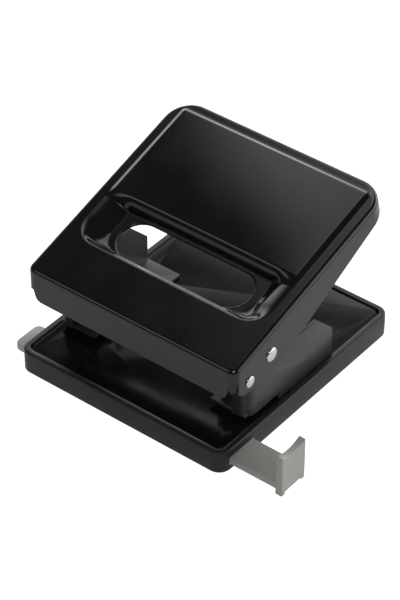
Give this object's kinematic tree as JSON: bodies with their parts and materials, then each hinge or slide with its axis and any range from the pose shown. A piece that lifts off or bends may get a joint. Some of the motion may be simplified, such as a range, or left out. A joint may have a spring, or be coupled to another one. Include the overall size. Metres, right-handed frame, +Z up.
{
  "type": "two-hole desk punch",
  "caption": "Desk hole punch: pressed steel lever on two brackets and a base plate, sprung punches below it, plastic chip tray and a sliding side guide for the paper.",
  "frame": {"origin": "centre of the chip tray's flat underside; the rubber feet stand 1 mm below it", "axes": "+Z up, -Y the side where paper goes in, +X towards the paper guide's fence"},
  "size_m": [0.1465, 0.121, 0.083],
  "materials": {
    "tray_plastic": "satin moulded plastic, lightly grained",
    "rubber": "matt rubber",
    "base_enamel": "gloss black stove enamel",
    "bracket_enamel": "semi-gloss dark blue-grey enamel",
    "rivet_steel": "bright plated steel",
    "zinc_steel": "zinc plated steel",
    "punch_steel": "ground hardened steel",
    "spring_steel": "drawn spring wire",
    "lever_enamel": "gloss black stove enamel",
    "washer_nylon": "natural nylon",
    "guide_plastic": "satin warm grey plastic"
  },
  "bodies": {
    "tray": {"chip_tray": "tray_plastic", "rubber_feet": "rubber"},
    "mechanism": {"base_plate": "base_enamel", "left_bracket": "bracket_enamel", "right_bracket": "bracket_enamel", "bracket_rivets": "rivet_steel", "left_guide_strap": "zinc_steel", "right_guide_strap": "zinc_steel", "left_spring": "spring_steel", "right_spring": "spring_steel", "left_pivot_rivet": "rivet_steel", "right_pivot_rivet": "rivet_steel", "left_pivot_washer": "washer_nylon", "right_pivot_washer": "washer_nylon"},
    "lever_arm": {"lever": "lever_enamel", "press_rod": "rivet_steel"},
    "left_pin": {"left_punch": "punch_steel", "left_retaining_clip": "zinc_steel"},
    "right_pin": {"right_punch": "punch_steel", "right_retaining_clip": "zinc_steel"},
    "guide": {"paper_guide": "guide_plastic"}
  },
  "joints": [
    {"name": "tray_release", "type": "slide", "parent": "tray", "child": "mechanism", "axis": [0, 0, 1], "range_m": [0, 0.03]},
    {"name": "lever_press", "type": "hinge", "parent": "mechanism", "child": "lever_arm", "pos_m": [0, -0.0425, 0.0405], "axis": [1, 0, 0], "range_deg": [-25, 0], "stiffness_Nm_per_rad": 0.6, "springref_deg": 14.32},
    {"name": "left_punch_stroke", "type": "slide", "parent": "mechanism", "child": "left_pin", "axis": [0, 0, 1], "range_m": [-0.0068, 0], "deforming": ["left_spring"]},
    {"name": "right_punch_stroke", "type": "slide", "parent": "mechanism", "child": "right_pin", "axis": [0, 0, 1], "range_m": [-0.0068, 0], "deforming": ["right_spring"]},
    {"name": "guide_slide", "type": "slide", "parent": "tray", "child": "guide", "axis": [1, 0, 0], "range_m": [-0.022, 0.07]}
  ],
  "couplings": [
    {"joint": "left_punch_stroke", "follows": "lever_press", "m_per_rad": 0.015118},
    {"joint": "right_punch_stroke", "follows": "lever_press", "m_per_rad": 0.015118}
  ]
}
